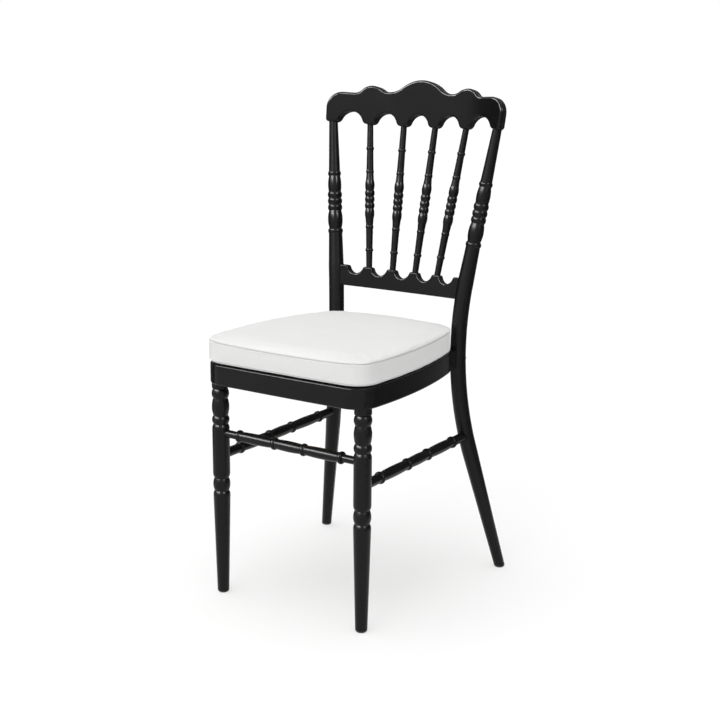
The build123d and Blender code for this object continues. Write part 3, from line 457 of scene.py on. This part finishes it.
for vertex in shape.verts:
    x, y, z = vertex.co
    outward = Vector((vertex.normal.x, vertex.normal.y, 0))
    push = 0
    for seam in SEAMS:
        rise = z - pad_bottom - seam
        groove = bell(rise, SEAM_HALF_WIDTH)
        # Keeps each seam's groove as a mask, which greys the cover there as painted shade.
        vertex[seam_line] = max(vertex[seam_line], groove)
        push += LIP_HEIGHT * bell(abs(rise) - LIP_FROM_SEAM, LIP_HALF_WIDTH) - SEAM_DEPTH * groove
        along = Vector((x, y, seam)) * PUCKERS_PER_METRE
        push += PUCKER_DEPTH * noise.noise(along) * bell(rise, PUCKER_REACH)
    rise = z - upper_seam
    _, _, reach = edge_tree.find((x, y, 0))
    inward = share(reach / TOP_ROLL_REACH)
    rearward = share((y - pad_low.y) / (pad_high.y - pad_low.y))
    sideways = 1 - TOP_ROLL_EVEN * share((x - TOP_ROLL_FROM) / TOP_ROLL_OVER)
    roll = TOP_ROLL * sideways * rearward * (1 - inward) ** 2 * share(rise / TOP_ROLL)
    beside = share((x / pad_high.x) ** SIDE_LIFT_POWER)
    lift = SIDE_LIFT * beside * ((1 - rearward) * (1 - inward)) ** 2 * share(rise / SIDE_LIFT)
    corner = (2 * vertex.normal.x * vertex.normal.y) ** 2
    push += CORNER_FULL * corner if y < 0 else -CORNER_SLACK * corner
    middle = max(0, 1 - (x / FRONT_SAG_REACH) ** 2) * max(0, -vertex.normal.y)
    sag = FRONT_SAG * middle * max(0, 1 - abs(rise) / FRONT_SAG_HEIGHT) if y < 0 else 0
    moves.append(outward * push + Vector((0, 0, lift - roll - sag)))
for vertex, move in zip(shape.verts, moves):
    vertex.co += move
for face in shape.faces:
    face.smooth = True
shape.to_mesh(pad.data)
shape.free()

COVER_WHITE = (0.86, 0.86, 0.855)
COVER_SHADE = (0.82, 0.82, 0.81)
COVER_DRIFT = {"scale": (14, 14, 14), "detail": 4.0}
# Grey for painted shade in the seam grooves, laid over the cover by their mask.
SEAM_PAINTED_SHADE = (0.42, 0.42, 0.42)
SEAM_SHADE_EDGE = (0.25, 0.85)
SEAM_SHADE_SHARE = 0.4
COVER_ROUGHNESS = 0.46
COVER_DRIFT_ROUGHNESS = 0.08
COVER_SPECULAR = 0.06
CREASES = {"scale": (240, 240, 240), "detail": 4.0}
CREASE_ROUGHNESS = 0.06
CREASE_HEIGHT = 0.00003
PEBBLES_PER_METRE = 1100.0
PEBBLE_HEIGHT = 0.00004


def leatherette(tone):
    place = tone.node("TexCoord", output="Object")
    grain = {"Vector": place, "Scale": PEBBLES_PER_METRE}
    pebbles = tone.node("TexVoronoi", {"feature": "SMOOTH_F1"}, grain, "Distance")
    drift = tone.cells(**COVER_DRIFT)
    creases = tone.cells(**CREASES)
    # Painted shade: the cover is greyed along the seam grooves, by their mask.
    seam = tone.node("Attribute", {"attribute_name": "seam_line"}, output="Fac").step(*SEAM_SHADE_EDGE)
    cover = drift.colours(COVER_WHITE, COVER_SHADE)
    sewn = (SEAM_SHADE_SHARE * seam).colours(cover, SEAM_PAINTED_SHADE)
    roughness = COVER_ROUGHNESS + COVER_DRIFT_ROUGHNESS * drift + CREASE_ROUGHNESS * creases
    return sewn, roughness, PEBBLE_HEIGHT * pebbles + CREASE_HEIGHT * creases


pad.data.materials.clear()
pad.data.materials.append(finish("white_leatherette", leatherette, specular=COVER_SPECULAR))
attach(pad, "seat_pad")
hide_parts("seat_pad_cover", "seat_pad_foam")

# Floor
# A plain pale studio floor that runs out to the horizon and keeps the chair's shadow.
# For the camera and for gloss a weak glow lifts it, so that it passes for white paper.
FLOOR_HALF_SIZE = 60.0
FLOOR_COLOUR = (0.90, 0.90, 0.90)
FLOOR_SEEN = (0.45, 0.45, 0.45)
FLOOR_LIFT = 0.57


def matt_piece(name, shape, surface):
    """New matt piece of the studio from a bmesh, with its shader and a Tone for its nodes."""
    piece = bpy.data.objects.new(name, bpy.data.meshes.new(name))
    shape.to_mesh(piece.data)
    shape.free()
    bpy.context.scene.collection.objects.link(piece)
    material = bpy.data.materials.new(surface)
    material.use_nodes = True
    piece.data.materials.append(material)
    shader = material.node_tree.nodes["Principled BSDF"]
    shader.inputs["Roughness"].default_value = 1.0
    shader.inputs["Specular IOR Level"].default_value = 0.0
    return piece, shader, Tone(material.node_tree)


shape = bmesh.new()
bmesh.ops.create_grid(shape, x_segments=1, y_segments=1, size=FLOOR_HALF_SIZE)
floor, paper, sight = matt_piece("floor", shape, "floor_paper")
paper.inputs["Emission Strength"].default_value = FLOOR_LIFT
seen = sight.node("LightPath", output="Is Camera Ray")
shown = sight.math("MAXIMUM", seen, sight.node("LightPath", output="Is Glossy Ray"))
shown.colours(FLOOR_COLOUR, FLOOR_SEEN).feed(paper, "Base Color")
shown.feed(paper, "Emission Color")

# Studio light
# A white room with a broad lamp overhead and a weak key in front. A bank of tubes is seen by gloss
# alone, as glints in the lacquer, and grey flags beside and behind the chair keep its edges dark.
ROOM_WHITE = (1, 1, 1, 1)
ROOM_LEVEL = 0.41
SOFT_LAMPS = {
    "overhead": {"strength": 1.75, "angle": 60.0, "azimuth": -20.0, "elevation": 78.0},
    "key": {"strength": 0.48, "angle": 30.0, "azimuth": 4.0, "elevation": 30.0},
}
TUBES = {
    "tube_far_left": {"strength": 1.9, "angle": 14.0, "azimuth": -58.0, "elevation": 31.0},
    "tube_left": {"strength": 2.2, "angle": 14.0, "azimuth": -40.0, "elevation": 31.0},
    "tube_middle": {"strength": 2.2, "angle": 14.0, "azimuth": -22.0, "elevation": 31.0},
    "tube_front": {"strength": 2.2, "angle": 14.0, "azimuth": -4.0, "elevation": 31.0},
    "tube_right": {"strength": 2.0, "angle": 14.0, "azimuth": 74.0, "elevation": 31.0},
}
FLAG_RADIUS = 0.95
FLAG_HEIGHT = 1.25
FLAG_OFF_FLOOR = 0.01
FLAG_FROM = 60.0
FLAG_TO = 300.0
FLAG_STEPS = 40
FLAG_FADE = (-0.475, 0.61)
FLAG_LEFT_HALF = (0.1, -0.1)
FLAG_GREY = (0.18, 0.18, 0.18)
FLAG_PALE = (0.90, 0.90, 0.90)
world = bpy.data.worlds.new("white_room")
world.use_nodes = True
bpy.context.scene.world = world
room = Tone(world.node_tree)
reflected = room.node("LightPath", output="Is Glossy Ray")
through = room.node("LightPath", output="Is Transmission Ray")
straight = room.node("LightPath", output="Is Camera Ray") + through
backdrop = world.node_tree.nodes["Background"]
backdrop.inputs["Color"].default_value = ROOM_WHITE
shown = room.math("MINIMUM", straight + reflected, 1.0)
(ROOM_LEVEL + (1 - ROOM_LEVEL) * shown).feed(backdrop, "Strength")
for name, lamp in (SOFT_LAMPS | TUBES).items():
    light = bpy.data.lights.new(name, "SUN")
    light.energy = lamp["strength"]
    light.angle = math.radians(lamp["angle"])
    source = bpy.data.objects.new(name, light)
    source.visible_diffuse = name in SOFT_LAMPS
    source.visible_glossy = name in TUBES
    around = Matrix.Rotation(math.radians(lamp["azimuth"]), 4, "Z")
    source.matrix_world = around @ Matrix.Rotation(math.radians(90 - lamp["elevation"]), 4, "X")
    bpy.context.scene.collection.objects.link(source)

shape = bmesh.new()
foot = Vector((0, -FLAG_RADIUS, FLAG_OFF_FLOOR))
rod = shape.edges.new([shape.verts.new(foot), shape.verts.new(foot + Vector((0, 0, FLAG_HEIGHT)))])
turn = Matrix.Rotation(math.radians(FLAG_FROM), 3, "Z")
bmesh.ops.rotate(shape, verts=rod.verts, cent=(0, 0, 0), matrix=turn)
sweep = math.radians(FLAG_TO - FLAG_FROM)
bmesh.ops.spin(
    shape, geom=[rod, *rod.verts], cent=(0, 0, 0), axis=(0, 0, 1), angle=sweep, steps=FLAG_STEPS
)
flags, felt, weave = matt_piece("grey_flags", shape, "grey_felt")
place = weave.node("TexCoord", output="Object")
rear = weave.node("SeparateXYZ", {}, {"Vector": place}, "Y").step(*FLAG_FADE)
left = weave.node("SeparateXYZ", {}, {"Vector": place}, "X").step(*FLAG_LEFT_HALF)
weave.math("MAXIMUM", rear, left).colours(FLAG_PALE, FLAG_GREY).feed(felt, "Base Color")
flags.visible_camera = False
flags.visible_diffuse = False
flags.visible_transmission = False
flags.visible_shadow = False

# Camera
# Stands to the chair's front right, a little higher than the crest rail.
# It looks slightly down, through a short telephoto lens.
CAMERA_TARGET = Vector((-0.002367, 0.018, 0.41722))
CAMERA_AZIMUTH = 33.948
CAMERA_ELEVATION = 13.253
CAMERA_ROLL = 0.467
CAMERA_DISTANCE = 2.49666
CAMERA_LENS = 67.48
camera = bpy.data.objects.new("camera", bpy.data.cameras.new("camera"))
camera.data.lens = CAMERA_LENS
around = Matrix.Rotation(math.radians(CAMERA_AZIMUTH), 4, "Z")
tilted = around @ Matrix.Rotation(math.radians(90 - CAMERA_ELEVATION), 4, "X")
back_off = Matrix.Translation(CAMERA_TARGET + tilted.to_3x3() @ Vector((0, 0, CAMERA_DISTANCE)))
camera.matrix_world = back_off @ tilted @ Matrix.Rotation(math.radians(CAMERA_ROLL), 4, "Z")
bpy.context.scene.collection.objects.link(camera)
bpy.context.scene.camera = camera
bpy.context.scene.view_settings.view_transform = "Standard"
